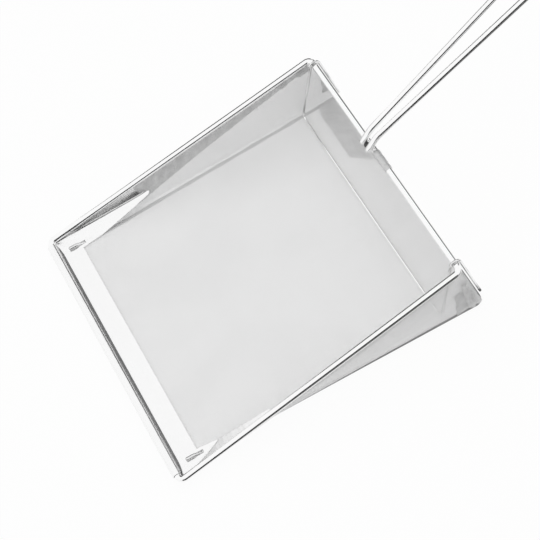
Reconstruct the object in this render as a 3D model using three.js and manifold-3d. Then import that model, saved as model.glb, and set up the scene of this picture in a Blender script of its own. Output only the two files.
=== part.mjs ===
// Wire skimmer scoop: a rectangular wedge basket of fine woven cloth on a bent wire rim,
// with a rolled sheet lip in front and a long hairpin wire handle behind.
// Units are millimetres. The part stands on the wires under its floor, +Z up, +Y from lip to handle.
// All pieces are shaped in the plane of the rim: the rim centreline lies at z = 0, the lip at y = 0.

import * as THREE from "three";
import { mergeVertices } from "three/addons/utils/BufferGeometryUtils.js";
import Module from "manifold-3d";

const wasm = await Module();
wasm.setup();

// Driving sizes
const clearance = 0.3;
const rimDiameter = 5;
const rimFrontWidth = 221;
const rimBackWidth = 207;
const rimLength = 240;
const rimCorner = 4.5;
const floorSlope = THREE.MathUtils.degToRad(14);
const floorWaistInset = 9.5;
const floorBackFlare = 1;
const backLean = 1;
const clothThickness = 0.6;
const bladeThickness = 0.8;
const bladeDepth = 19;
const bladeRollEnd = THREE.MathUtils.degToRad(80);
const earLength = 76;
const earWidth = 18;
const earTipWidth = 4.8;
const frameDiameter = 2.5;
const frameTipInset = 12.5;
const frameBackInset = 0.5;
const frameBackGap = 1;
const frameTipStart = 11;
const frameTipEnd = 23;
const frameDrop = 9;
const clampDiameter = 2;
const clampFloorInset = 3.5;
const clampSetback = 31;
const clampLeftEnd = 50;
const clampRightEnd = 64;
const hemHeight = 17;
const lapWidth = 17;
const lapEnd = -36;
const lapSlant = 14;
const handleDiameter = 5;
const handleLength = 300;
const handleRise = THREE.MathUtils.degToRad(20);
const handleOffset = -15;
const handleDrift = 7;
const handleRimSpacing = 7.9;
const handleEndSpacing = 29;
const handleLanding = THREE.MathUtils.degToRad(128);
const handleKnee = 12;
const handleBend = 25;
const sleeveLength = 18;
const sleeveThickness = 0.4;

// How finely round forms are drawn
const wireSides = 14;
const bendStep = THREE.MathUtils.degToRad(10);
const wallBays = 8;

// Sizes that follow from the driving ones
const rimRadius = rimDiameter / 2;
const frameRadius = frameDiameter / 2;
const clampRadius = clampDiameter / 2;
const handleRadius = handleDiameter / 2;
const rollInner = rimRadius + clearance;
const rollOuter = rollInner + bladeThickness;
const clothOuter = rollOuter + clearance + clothThickness;
const frameLevel = clothOuter + clearance + frameRadius;
const tipLevel = rollInner - clearance - frameRadius;
const clampHookSpacing = rimBackWidth - 2 * (rimCorner + clampDiameter);
const clampLevel = clothOuter - clothThickness - clearance - clampRadius;
const floorWaistWidth = rimFrontWidth - 2 * floorWaistInset;
const floorBackWidth = rimBackWidth + 2 * floorBackFlare;
const frameFrontSpacing = rimFrontWidth - 2 * frameTipInset;
const frameBackSpacing = floorBackWidth - 2 * frameBackInset;
const clampFloorSpacing = floorBackWidth - 2 * clampFloorInset;
const wallTop = -rimRadius - clearance;
const bladeInset = clothThickness + clearance;
const wallStack = bladeInset + bladeThickness;
const clothFront = bladeDepth / 2;
const over = 40;
const cutOver = 1;

const point = (x, y, z) => new THREE.Vector3(x, y, z);

// Height of a plane that runs parallel to the floor, level below the front run of the rim.
function floorHeight(y, level) {
  return -level / Math.cos(floorSlope) - y * Math.tan(floorSlope);
}

function rimHalfWidth(y) {
  return THREE.MathUtils.lerp(rimFrontWidth, rimBackWidth, y / rimLength) / 2;
}

// Half the width of the floor: drawn in from the lip to the end of the ears, then growing to the back.
function floorHalfWidth(y) {
  const behind = (y - earLength) / (rimLength - earLength);
  if (behind > 0) return THREE.MathUtils.lerp(floorWaistWidth, floorBackWidth, behind) / 2;
  return THREE.MathUtils.lerp(rimFrontWidth, floorWaistWidth, y / earLength) / 2;
}

// A path through listed points, taken as they are.
class PointPath extends THREE.Curve {
  constructor(points) {
    super();
    this.points = points;
  }

  getPoint(t, target = new THREE.Vector3()) {
    const place = t * (this.points.length - 1);
    const first = Math.min(Math.floor(place), this.points.length - 2);
    return target.lerpVectors(this.points[first], this.points[first + 1], place - first);
  }

  getPointAt(t, target) {
    return this.getPoint(t, target);
  }

  getTangentAt(t, target = new THREE.Vector3()) {
    const last = this.points.length - 1;
    const here = Math.round(t * last);
    const along = (a, b) => this.points[b].clone().sub(this.points[a]).normalize();
    if (here > 0) target.copy(along(here - 1, here));
    else target.set(0, 0, 0);
    if (here < last) target.add(along(here, here + 1));
    return target.normalize();
  }
}

// The corners of a wire, each inner one rounded to a bend of the given centreline radius.
function bent(corners, radius) {
  const path = [corners[0]];
  for (let i = 1; i < corners.length - 1; i += 1) {
    const before = corners[i - 1].clone().sub(corners[i]).normalize();
    const after = corners[i + 1].clone().sub(corners[i]).normalize();
    const half = before.angleTo(after) / 2;
    const middle = before.clone().add(after).normalize();
    const centre = corners[i].clone().addScaledVector(middle, radius / Math.sin(half));
    const start = corners[i].clone().addScaledVector(before, radius / Math.tan(half)).sub(centre);
    const axis = start.clone().cross(middle).normalize();
    const turn = Math.PI - 2 * half;
    const steps = Math.ceil(turn / bendStep);
    for (let k = 0; k <= steps; k += 1) {
      path.push(start.clone().applyAxisAngle(axis, -(k / steps) * turn).add(centre));
    }
  }
  path.push(corners[corners.length - 1]);
  return path;
}

function wire(path, diameter) {
  const round = new THREE.Shape();
  const corner = (k) => (2 * Math.PI * k) / wireSides;
  const points = Array.from({ length: wireSides }, (_, k) => {
    return new THREE.Vector2(Math.cos(corner(k)), Math.sin(corner(k))).multiplyScalar(diameter / 2);
  });
  round.setFromPoints(points);
  return new THREE.ExtrudeGeometry(round, { extrudePath: new PointPath(path), steps: path.length - 1 });
}

function toSolid(geometry) {
  const bare = geometry.clone();
  bare.deleteAttribute("normal");
  bare.deleteAttribute("uv");
  const merged = mergeVertices(bare, 1e-4);
  const mesh = new wasm.Mesh({
    numProp: 3,
    vertProperties: new Float32Array(merged.attributes.position.array),
    triVerts: new Uint32Array(merged.index.array),
  });
  return new wasm.Manifold(mesh);
}

function toGeometry(solid) {
  const mesh = solid.getMesh();
  const geometry = new THREE.BufferGeometry();
  geometry.setAttribute("position", new THREE.BufferAttribute(new Float32Array(mesh.vertProperties), 3));
  geometry.setIndex(new THREE.BufferAttribute(new Uint32Array(mesh.triVerts), 1));
  geometry.computeVertexNormals();
  return geometry;
}

// An upright prism over an outline drawn in plan, reaching far above and below the basket.
function planPrism(outline) {
  const shape = new THREE.Shape(outline.map(([x, y]) => new THREE.Vector2(x, y)));
  const tall = 2 * rimLength;
  const geometry = new THREE.ExtrudeGeometry(shape, { depth: tall, bevelEnabled: false });
  return toSolid(geometry.translate(0, 0, -tall / 2));
}

function box(low, high) {
  const size = high.clone().sub(low);
  const middle = low.clone().add(high).multiplyScalar(0.5);
  return toSolid(new THREE.BoxGeometry(size.x, size.y, size.z).translate(middle.x, middle.y, middle.z));
}

// Four corners of the basket's section: side walls ruled from the rim to the floor, inset from the outer face.
function section(y, lowY, inset, top) {
  const upper = new THREE.Vector2(rimHalfWidth(y) + wallStack / 2, wallTop);
  const lower = new THREE.Vector2(floorHalfWidth(lowY) + wallStack / 2, floorHeight(lowY, clothOuter));
  const run = lower.clone().sub(upper).normalize();
  const start = upper.clone().addScaledVector(new THREE.Vector2(run.y, -run.x), inset);
  const halfWidth = (z) => start.x + (run.x * (z - start.y)) / run.y;
  const low = floorHeight(lowY, clothOuter - inset);
  return [
    point(-halfWidth(top), y, top),
    point(-halfWidth(low), lowY, low),
    point(halfWidth(low), lowY, low),
    point(halfWidth(top), y, top),
  ];
}

// The wedge of space in the basket, inset from the outer face of the cloth, from front to the back wall.
function wedge(inset, front, top) {
  const back = rimLength + wallStack / 2 - inset;
  const stations = [clothFront];
  for (let k = 1; k <= wallBays; k += 1) {
    stations.push(THREE.MathUtils.lerp(clothFront, earLength, k / wallBays));
  }
  for (let k = 1; k < wallBays; k += 1) {
    stations.push(THREE.MathUtils.lerp(earLength, back, k / wallBays));
  }
  const rings = [front, ...stations.filter((y) => y > front)].map((y) => section(y, y, inset, top));
  rings.push(section(back, back - backLean, inset, top));
  const corners = rings[0].length;
  const last = (rings.length - 1) * corners;
  const faces = [0, 1, 2, 0, 2, 3];
  faces.push(...faces.map((corner) => last + corner).reverse());
  for (let k = 0; k < last; k += corners) {
    for (let i = 0; i < corners; i += 1) {
      const j = (i + 1) % corners;
      faces.push(k + i, k + corners + i, k + corners + j, k + i, k + corners + j, k + j);
    }
  }
  return toSolid(new THREE.BufferGeometry().setFromPoints(rings.flat()).setIndex(faces));
}

// A layer of the basket between two insets, open at the top and in front.
function layer(outer, inner, front) {
  return wedge(outer, front, wallTop).subtract(wedge(inner, front - cutOver, wallTop + cutOver));
}

// The two long slots through which the tips of the lower frame come up.
function tipSlots() {
  const halfWidth = frameRadius + clearance;
  const low = floorHeight(frameTipEnd + frameDrop, frameLevel) - over;
  const slot = (side) => {
    const x = (side * frameFrontSpacing) / 2;
    return box(point(x - halfWidth, frameTipEnd - clearance, low), point(x + halfWidth, frameTipEnd + frameDrop, over));
  };
  return slot(-1).add(slot(1));
}

// Rim: one wire bent through four corners, its ends facing each other in the back run.
const jointX = handleOffset + handleRimSpacing / 2 + handleRadius + clearance + sleeveLength / 2;

function rimWire() {
  const backHalf = rimBackWidth / 2;
  const frontHalf = rimFrontWidth / 2;
  const corners = [
    point(jointX + clearance / 2, rimLength, 0),
    point(backHalf, rimLength, 0),
    point(frontHalf, 0, 0),
    point(-frontHalf, 0, 0),
    point(-backHalf, rimLength, 0),
    point(jointX - clearance / 2, rimLength, 0),
  ];
  return wire(bent(corners, rimCorner), rimDiameter);
}

// Sleeve over the butted ends of the rim.
function jointSleeve() {
  const inner = rimRadius + clearance;
  const outer = inner + sleeveThickness;
  const half = sleeveLength / 2;
  const profile = [
    new THREE.Vector2(inner, -half),
    new THREE.Vector2(outer, -half),
    new THREE.Vector2(outer, half),
    new THREE.Vector2(inner, half),
    new THREE.Vector2(inner, -half),
  ];
  const tube = new THREE.LatheGeometry(profile, 2 * wireSides);
  return toGeometry(toSolid(tube.rotateZ(Math.PI / 2).translate(jointX, rimLength, 0)));
}

// Handle: a hairpin whose two ends come down over the back run of the rim and lie against it.
function handleWire() {
  const reach = rimRadius + clearance + handleRadius;
  const landing = new THREE.Vector2(Math.cos(handleLanding), Math.sin(handleLanding));
  const foot = point(0, rimLength + reach * landing.x, reach * landing.y);
  const knee = foot.clone().add(point(0, landing.y, -landing.x).multiplyScalar(handleKnee));
  const forward = point(0, Math.cos(handleRise), Math.sin(handleRise));
  const spot = (x, s) => knee.clone().addScaledVector(forward, s).setX(handleOffset + x);
  const leg = (side) => {
    const rimX = (side * handleRimSpacing) / 2;
    const endX = handleDrift + (side * handleEndSpacing) / 2;
    const corners = [foot.clone().setX(handleOffset + rimX), spot(rimX, 0), spot(endX, handleLength)];
    return bent(corners, handleBend);
  };
  const loopRadius = handleEndSpacing / 2;
  const loopSteps = Math.ceil(Math.PI / bendStep);
  const loop = [];
  for (let k = 1; k < loopSteps; k += 1) {
    const angle = Math.PI * (1 - k / loopSteps);
    const x = handleDrift + loopRadius * Math.cos(angle);
    loop.push(spot(x, handleLength + loopRadius * Math.sin(angle)));
  }
  return wire([...leg(-1), ...loop, ...leg(1).reverse()], handleDiameter);
}

// Lip: sheet rolled round the front run of the rim, a flat strip behind it and an ear up each side.
function frontBlade() {
  const down = -Math.PI / 2 - floorSlope;
  const rollTurn = 2 * Math.PI + down - bladeRollEnd;
  const rollSteps = Math.ceil(rollTurn / bendStep);
  const round = (radius, k) => {
    const angle = down - (rollTurn * k) / rollSteps;
    return new THREE.Vector2(Math.cos(angle), Math.sin(angle)).multiplyScalar(radius);
  };
  const stripEnd = (radius) => {
    const run = new THREE.Vector2(Math.cos(floorSlope), -Math.sin(floorSlope));
    return round(radius, 0).addScaledVector(run, clothFront);
  };
  const outline = [stripEnd(rollInner)];
  for (let k = 0; k <= rollSteps; k += 1) outline.push(round(rollInner, k));
  for (let k = rollSteps; k >= 0; k -= 1) outline.push(round(rollOuter, k));
  outline.push(stripEnd(rollOuter));
  const rollWidth = rimFrontWidth - 2 * (rimCorner + clearance);
  const extruded = new THREE.ExtrudeGeometry(new THREE.Shape(outline), { depth: rollWidth, bevelEnabled: false });
  const place = new THREE.Matrix4().makeBasis(point(0, 1, 0), point(0, 0, 1), point(1, 0, 0));
  const roll = toSolid(extruded.translate(0, 0, -rollWidth / 2).applyMatrix4(place));

  const wide = rimFrontWidth;
  const inner = rimFrontWidth / 2 - earWidth;
  const tip = rimHalfWidth(earLength) - earTipWidth;
  const plan = [
    [-wide, -over],
    [wide, -over],
    [wide, earLength],
    [tip, earLength],
    [inner, bladeDepth],
    [-inner, bladeDepth],
    [-tip, earLength],
    [-wide, earLength],
  ];
  const sheet = layer(bladeInset, bladeInset + bladeThickness, clearance).intersect(planPrism(plan));
  return toGeometry(roll.add(sheet).subtract(tipSlots()));
}

// Wire under the basket: two rails with tips that rise through the lip, joined by the back crossbar.
function lowerFrame() {
  const backY = rimLength - frameBackGap;
  const rail = (side) => {
    const front = (side * frameFrontSpacing) / 2;
    const back = (side * frameBackSpacing) / 2;
    return [
      point(front, frameTipStart, floorHeight(frameTipStart, tipLevel)),
      point(front, frameTipEnd, floorHeight(frameTipEnd, tipLevel)),
      point(front, frameTipEnd + frameDrop, floorHeight(frameTipEnd + frameDrop, frameLevel)),
      point(back, backY, floorHeight(backY, frameLevel)),
    ];
  };
  return wire(bent([...rail(-1), ...rail(1).reverse()], 2 * frameDiameter), frameDiameter);
}

// Thin wire that holds the cloth down: over the rim at both back corners, down the walls, across the floor.
function clampWire() {
  const reach = rimRadius + clearance + clampRadius;
  const floorY = rimLength - clampSetback;
  const hookSteps = Math.ceil(Math.PI / bendStep);
  const outerY = rimLength + wallStack / 2 + clearance + clampRadius;
  const side = (sign, depth) => {
    const hookX = (sign * clampHookSpacing) / 2;
    const points = [point(hookX, outerY, -depth)];
    for (let k = 0; k <= hookSteps; k += 1) {
      const angle = (Math.PI * k) / hookSteps;
      points.push(point(hookX, rimLength + reach * Math.cos(angle), reach * Math.sin(angle)));
    }
    return points;
  };
  const low = (sign) => point((sign * clampFloorSpacing) / 2, floorY, floorHeight(floorY, clampLevel));
  const left = side(-1, clampLeftEnd);
  const right = side(1, clampRightEnd).reverse();
  const across = bent([left.at(-1), low(-1), low(1), right[0]], 3 * clampDiameter);
  return wire([...left.slice(0, -1), ...across, ...right.slice(1)], clampDiameter);
}

// Room for the sleeve in the top edge of the back wall.
function sleeveNotch() {
  const half = sleeveLength / 2 + clearance;
  const low = wallTop - sleeveThickness - clearance;
  return box(point(jointX - half, rimLength - over, low), point(jointX + half, rimLength + over, 0));
}

// Cloth: floor, side walls and back wall, starting under the lip, with room for the tips and the sleeve.
function meshBasket() {
  const cloth = layer(0, clothThickness, clothFront);
  return toGeometry(cloth.subtract(tipSlots()).subtract(sleeveNotch()));
}

// Second layer of cloth turned down below a side of the rim, behind the ear.
function meshHem(side) {
  const cloth = layer(bladeInset, bladeInset + clothThickness, clearance);
  const from = point(rimBackWidth / 4, earLength + clearance, wallTop - hemHeight);
  const to = point(rimFrontWidth, rimLength - clampDiameter - rimDiameter, 0);
  const near = box(from, to);
  const hem = cloth.intersect(side > 0 ? near : near.mirror([1, 0, 0]));
  return toGeometry(hem);
}

// Second layer of cloth on the floor along the back wall, cut off slantwise.
function meshLap() {
  const back = rimLength - backLean - wallStack;
  const front = back - lapWidth;
  const left = -floorBackWidth / 2 + wallStack;
  const plan = [
    [left, front],
    [lapEnd - lapSlant, front],
    [lapEnd, back],
    [left, back],
  ];
  const cloth = layer(bladeInset, bladeInset + clothThickness, clearance);
  const low = box(point(-rimFrontWidth, 0, -2 * rimLength), point(rimFrontWidth, rimLength, floorHeight(front, 0)));
  return toGeometry(cloth.intersect(planPrism(plan)).intersect(low));
}

const finishes = {
  polished: { color: 0xdcdddd, roughness: 0.12, metalness: 1 },
  drawn: { color: 0xcfd0d1, roughness: 0.2, metalness: 1 },
  dull: { color: 0xb9babb, roughness: 0.45, metalness: 1 },
  sheet: { color: 0xe2e3e3, roughness: 0.18, metalness: 1 },
  cloth: { color: 0xc9cacb, roughness: 0.5, metalness: 0.8 },
};

const pieces = [
  ["rim_wire", rimWire(), "polished"],
  ["rim_joint_sleeve", jointSleeve(), "dull"],
  ["handle_wire", handleWire(), "polished"],
  ["front_blade", frontBlade(), "sheet"],
  ["lower_frame_wire", lowerFrame(), "drawn"],
  ["clamp_wire", clampWire(), "drawn"],
  ["mesh_basket", meshBasket(), "cloth"],
  ["mesh_hem_left", meshHem(-1), "cloth"],
  ["mesh_hem_right", meshHem(1), "cloth"],
  ["mesh_lap", meshLap(), "cloth"],
];

// The rim frame leans back so that the floor lies level, and the part stands centred on the origin.
const frame = new THREE.Group();
frame.name = "rim_frame";
frame.rotation.x = floorSlope;
for (const [name, geometry, finish] of pieces) {
  const mesh = new THREE.Mesh(geometry, new THREE.MeshStandardMaterial(finishes[finish]));
  mesh.name = name;
  frame.add(mesh);
}

const skimmer = new THREE.Group();
skimmer.name = "skimmer";
skimmer.add(frame);
skimmer.updateMatrixWorld(true);
const bounds = new THREE.Box3().setFromObject(skimmer, true);
const middle = bounds.getCenter(new THREE.Vector3());
frame.position.set(-middle.x, -middle.y, -bounds.min.z);
skimmer.updateMatrixWorld(true);

export default skimmer;
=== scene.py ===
# %% [markdown]
# # A wire mesh skimmer scoop
# The scoop is a wedge of fine woven steel cloth, held by bent steel wires and a rolled sheet lip.
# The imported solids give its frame. This lesson dresses that frame: it redraws each piece with smooth
# bends, folds and welds, gives every surface a steel finish, and sets up a small white studio.

# %% Load the frame
import math

import bmesh
import bpy
from mathutils import Matrix, Vector, noise


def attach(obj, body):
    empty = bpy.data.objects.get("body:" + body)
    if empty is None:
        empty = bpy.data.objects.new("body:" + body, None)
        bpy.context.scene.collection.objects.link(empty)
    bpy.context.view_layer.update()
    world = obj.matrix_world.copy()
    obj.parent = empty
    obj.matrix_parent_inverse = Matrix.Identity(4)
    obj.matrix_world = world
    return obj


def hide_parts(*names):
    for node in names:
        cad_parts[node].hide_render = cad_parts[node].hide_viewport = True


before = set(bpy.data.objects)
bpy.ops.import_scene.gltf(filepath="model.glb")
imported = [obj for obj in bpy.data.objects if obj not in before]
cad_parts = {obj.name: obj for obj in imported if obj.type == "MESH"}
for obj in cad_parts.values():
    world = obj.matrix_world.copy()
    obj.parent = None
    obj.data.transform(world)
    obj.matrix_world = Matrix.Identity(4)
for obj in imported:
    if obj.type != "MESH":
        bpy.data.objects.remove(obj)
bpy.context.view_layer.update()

# %% [markdown]
# ## The plane of the rim
# Every wire and sheet is easiest to describe in the plane of the rim: x across, y from the lip to the
# back, z up from the plane, in millimetres. The rim leans so that the basket's floor lies level, so one
# function turns such a point about the lip and moves it to where the lip lies in the part's frame, and
# another one goes the way back.

# %% The rim plane and its sizes
MM = 0.001
SLOPE = math.radians(14)
LIP = Vector((0, -247.845, 7.27))
TO_PART = Matrix.Rotation(SLOPE, 3, "X")

RIM_FRONT, RIM_BACK, RIM_LENGTH = 221, 207, 240
RIM_WIRE, FRAME_WIRE, CLAMP_WIRE, HANDLE_WIRE = 5, 2.5, 2, 5
# The room left between pieces, and the thickness of the cloth and of the sheet
GAP, CLOTH, SHEET = 0.3, 0.6, 0.8
# The radius of the lip's roll, the underside of the cloth below the rim, and the layers of a wall
ROLL = RIM_WIRE / 2 + GAP + SHEET / 2
CLOTH_LEVEL = ROLL + SHEET / 2 + GAP + CLOTH
STACK = CLOTH + GAP + SHEET
WALL_TOP = -RIM_WIRE / 2 - GAP
EAR_END, LIP_DEPTH, BACK_LEAN = 76, 19, 1
# The floor is narrower than the rim at the end of the ears, and a little wider at the back
FLOOR_PINCH, FLOOR_FLARE = 9.5, 1


def place(x, y, z):
    """A point of the rim plane, in millimetres, as metres in the part's frame."""
    return (TO_PART @ Vector((x, y, z)) + LIP) * MM


def rim_spot(point):
    """A point of the part's frame, in metres, as millimetres in the rim plane."""
    return TO_PART.transposed() @ (point / MM - LIP)


def mix(a, b, t):
    return a + (b - a) * t


def rim_half(y):
    """Half the rim's width at y."""
    return mix(RIM_FRONT, RIM_BACK, y / RIM_LENGTH) / 2


def floor_half(y):
    """Half the floor's width: drawn in to the end of the ears, then growing to the back."""
    waist = RIM_FRONT / 2 - FLOOR_PINCH
    if y < EAR_END:
        return mix(RIM_FRONT / 2, waist, y / EAR_END)
    return mix(waist, RIM_BACK / 2 + FLOOR_FLARE, (y - EAR_END) / (RIM_LENGTH - EAR_END))


def floor_height(y, level):
    """Height of a plane parallel to the floor, that far below the front run of the rim."""
    return -level / math.cos(SLOPE) - y * math.tan(SLOPE)


print("rim plane: lip at", LIP[:], "mm, leaning", round(math.degrees(SLOPE), 1), "degrees")

# %% [markdown]
# ## Camera
# The photograph looks down on the scoop from its right front, turned so that the handle leaves at the
# top right. Matching the corners of the rim gave the place, turn and lens below: a long lens, about a
# metre away, so the sides of the rim stay almost parallel.

# %% Camera
camera_data = bpy.data.cameras.new("Camera")
camera_data.sensor_width = 36
camera_data.lens = 100
camera = bpy.data.objects.new("Camera", camera_data)
bpy.context.scene.collection.objects.link(camera)
bpy.context.scene.camera = camera

target, distance = Vector((18.3, 131.2, 0)), 1060.5
tilt, turn, roll = (math.radians(v) for v in (28.13, 15.19, -35.89))
back = Vector((math.sin(tilt) * math.cos(turn), math.sin(tilt) * math.sin(turn), math.cos(tilt)))
across = Vector((0, 1, 0))
across = (across - back * across.dot(back)).normalized()
upward = back.cross(across)
right = across * math.cos(roll) + upward * math.sin(roll)
up = upward * math.cos(roll) - across * math.sin(roll)
axes = Matrix([TO_PART @ axis for axis in (right, up, back)]).transposed()
camera.matrix_world = Matrix.Translation(place(*(target + back * distance))) @ axes.to_4x4()
print("camera at", [round(v, 3) for v in camera.location])

# %% [markdown]
# ## Drawing wires
# A wire could be a curve with a bevel, but a mesh swept along the path keeps the ends, the seam and the
# texture direction in hand. The path is a list of corners, each rounded to its bend radius.

# %% Bent paths
BEND_STEP = math.radians(5)


def bent(corners, radius):
    """The corners of a path with each inner one rounded to a bend of that radius."""
    corners = [Vector(c) for c in corners]
    path = [corners[0]]
    for before, here, after in zip(corners, corners[1:], corners[2:]):
        one, two = (before - here).normalized(), (after - here).normalized()
        half = one.angle(two) / 2
        centre = here + (one + two).normalized() * (radius / math.sin(half))
        start = here + one * (radius / math.tan(half)) - centre
        axis = start.cross(here - centre).normalized()
        turn = math.pi - 2 * half
        steps = math.ceil(turn / BEND_STEP)
        path += [centre + Matrix.Rotation(turn * k / steps, 3, axis) @ start for k in range(steps + 1)]
    return path + [corners[-1]]


def spaced(path, step=6):
    """The path with points added so that none lie farther apart than step."""
    dense = [path[0]]
    for a, b in zip(path, path[1:]):
        count = max(1, math.ceil((b - a).length / step))
        dense += [a.lerp(b, k / count) for k in range(1, count + 1)]
    return dense


print("a square bend has", round(math.pi / 2 / BEND_STEP) + 1, "points")

# %% [markdown]
# ## Pieces
# Each piece is built in place as a mesh with a uv map in millimetres, so that one scale serves all
# patterns. It rides on the scoop's one body and stands for the CAD nodes that it redraws. Pieces
# with a modifier are frozen: what the modifier makes becomes the mesh.

# %% Piece helpers
def blank_mesh():
    """An empty mesh and its uv map in millimetres."""
    bm = bmesh.new()
    return bm, bm.loops.layers.uv.new("mm")


def piece(name, bm, slot, *nodes):
    """A smooth object of a mesh built in place, riding on the body and standing for CAD nodes."""
    bmesh.ops.recalc_face_normals(bm, faces=bm.faces)
    mesh = bpy.data.meshes.new(name)
    bm.to_mesh(mesh)
    bm.free()
    mesh.shade_smooth()
    made = bpy.data.objects.new(name, mesh)
    bpy.context.scene.collection.objects.link(made)
    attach(made, "root")
    if nodes:
        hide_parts(*nodes)
    print(name, "has", len(mesh.polygons), "faces")
    return made


def freeze(made, sharp=40):
    """Applies an object's modifiers and keeps edges sharper than that angle crisp."""
    seen = made.evaluated_get(bpy.context.evaluated_depsgraph_get())
    mesh = bpy.data.meshes.new_from_object(seen)
    made.modifiers.clear()
    made.data = mesh
    mesh.name = made.name
    mesh.set_sharp_from_angle(angle=math.radians(sharp))
    return len(mesh.polygons)


# %% [markdown]
# ## Sweeping a wire
# Rings of points follow the path, each turned no more than the path itself turns, so that the lines of
# the finish don't twist. Hand-bent wire is never quite straight, so long runs wander by about a tenth of
# a millimetre, and a cut end is a shallow dome.

# %% Wire sweep
WIRE_SIDES, WANDER_RUN = 28, 70
# A fixed seed, so that each run draws the same wander
noise.seed_set(7)
# Each ring of a domed end: its width, and how far it stands out, as shares of the wire's radius
DOME = ((0.97, 0.17), (0.89, 0.34), (0.76, 0.48), (0.57, 0.6), (0.32, 0.69), (0.1, 0.72))


def wire_rings(path, radius):
    """Rings as middle, direction, side, length so far and width; and the length of the path."""
    behind, ahead = path[:1] + path[:-1], path[1:] + path[-1:]
    directions = [(b - a).normalized() for a, b in zip(behind, ahead)]
    side = directions[0].orthogonal().normalized()
    rings, length = [], 0
    for before, here, along in zip(behind, path, directions):
        side = (side - along * side.dot(along)).normalized()
        length += (here - before).length
        rings.append((here, along, side, length, 1))
    domes = []
    for (end, along, side, run, _), way in ((rings[0], -radius), (rings[-1], radius)):
        domes.append([(end + along * way * out, along, side, run + way * out, width)
                      for width, out in DOME])
    return domes[0][::-1] + rings + domes[1], length


def sweep(name, path, diameter, slot, *nodes, wander=0.12):
    """A round wire along a path, with domed ends."""
    radius, around = diameter / 2, math.pi * diameter / WIRE_SIDES
    path = [p + noise.noise_vector(p / WANDER_RUN) * wander for p in spaced(path)]
    rings, length = wire_rings(path, radius)
    bm, uv = blank_mesh()
    rows = []
    for middle, along, side, run, width in rings:
        third = along.cross(side)
        row = []
        for k in range(WIRE_SIDES):
            a = 2 * math.pi * k / WIRE_SIDES
            out = (side * math.cos(a) + third * math.sin(a)) * radius * width
            row.append(bm.verts.new(place(*(middle + out))))
        rows.append((row, run))
    for (row_a, run_a), (row_b, run_b) in zip(rows, rows[1:]):
        for k in range(WIRE_SIDES):
            j = (k + 1) % WIRE_SIDES
            face = bm.faces.new((row_a[k], row_a[j], row_b[j], row_b[k]))
            corners = ((k, run_a), (k + 1, run_a), (k + 1, run_b), (k, run_b))
            for loop, (step, run) in zip(face.loops, corners):
                loop[uv].uv = (step * around, run)
    bm.faces.new(list(reversed(rows[0][0])))
    bm.faces.new(rows[-1][0])
    print(name, "is a wire of", round(length), "mm")
    return piece(name, bm, slot, *nodes)


print("a wire has", WIRE_SIDES, "sides, and", len(DOME), "rings on each end")

# %% [markdown]
# ## Rim
# One heavy wire, bent through four corners. Its ends butt in the back run under a short sleeve, just
# right of the handle. A closed ring would be simpler, but the joint is there on the real one.

# %% Rim wire
RIM_BEND = 4.5
HANDLE_X, HANDLE_SPACING = -15, 7.9
SLEEVE = 18
JOINT_X = HANDLE_X + HANDLE_SPACING / 2 + HANDLE_WIRE / 2 + GAP + SLEEVE / 2
rim_corners = [
    (JOINT_X + GAP / 2, RIM_LENGTH, 0),
    (RIM_BACK / 2, RIM_LENGTH, 0),
    (RIM_FRONT / 2, 0, 0),
    (-RIM_FRONT / 2, 0, 0),
    (-RIM_BACK / 2, RIM_LENGTH, 0),
    (JOINT_X - GAP / 2, RIM_LENGTH, 0),
]
rim = sweep("rim_rod", bent(rim_corners, RIM_BEND), RIM_WIRE, "polished_wire", "rim_wire")

# %% [markdown]
# ## Handle
# A hairpin of the same wire. Each leg comes down steeply over the back run and is welded to its top.
# The far end lies outside the picture, so its round loop is the usual one for such a handle.

# %% Handle wire
HANDLE_RISE, HANDLE_LANDING = math.radians(20), math.radians(128)
HANDLE_LENGTH, HANDLE_END, HANDLE_DRIFT = 300, 29, 7
KNEE_RUN, HANDLE_BEND, LOOP_STEPS = 12, 25, 36
reach = RIM_WIRE / 2 + GAP + HANDLE_WIRE / 2
landing = Vector((0, math.cos(HANDLE_LANDING), math.sin(HANDLE_LANDING)))
foot = Vector((0, RIM_LENGTH, 0)) + landing * reach
knee = foot + Vector((0, landing.z, -landing.y)) * KNEE_RUN
forward = Vector((0, math.cos(HANDLE_RISE), math.sin(HANDLE_RISE)))


def handle_leg(side):
    """One leg from its foot on the rim to the start of the loop."""
    near = Vector((HANDLE_X + side * HANDLE_SPACING / 2, 0, 0))
    far = Vector((HANDLE_X + HANDLE_DRIFT + side * HANDLE_END / 2, 0, 0))
    return bent([foot + near, knee + near, knee + forward * HANDLE_LENGTH + far], HANDLE_BEND)


loop_centre = knee + forward * HANDLE_LENGTH + Vector((HANDLE_X + HANDLE_DRIFT, 0, 0))
loop_path = []
for k in range(1, LOOP_STEPS):
    angle = math.pi * (1 - k / LOOP_STEPS)
    arm = Vector((math.cos(angle), 0, 0)) + forward * math.sin(angle)
    loop_path.append(loop_centre + arm * HANDLE_END / 2)
handle_path = handle_leg(-1) + loop_path + handle_leg(1)[::-1]
handle = sweep("handle_rod", handle_path, HANDLE_WIRE, "polished_wire", "handle_wire")

# %% [markdown]
# ## Handle weld
# The legs are held by a spot of weld between them and the back run. A weld runs into the metal round it,
# so it is a lump with an uneven skin that reaches into all three wires.

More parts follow.
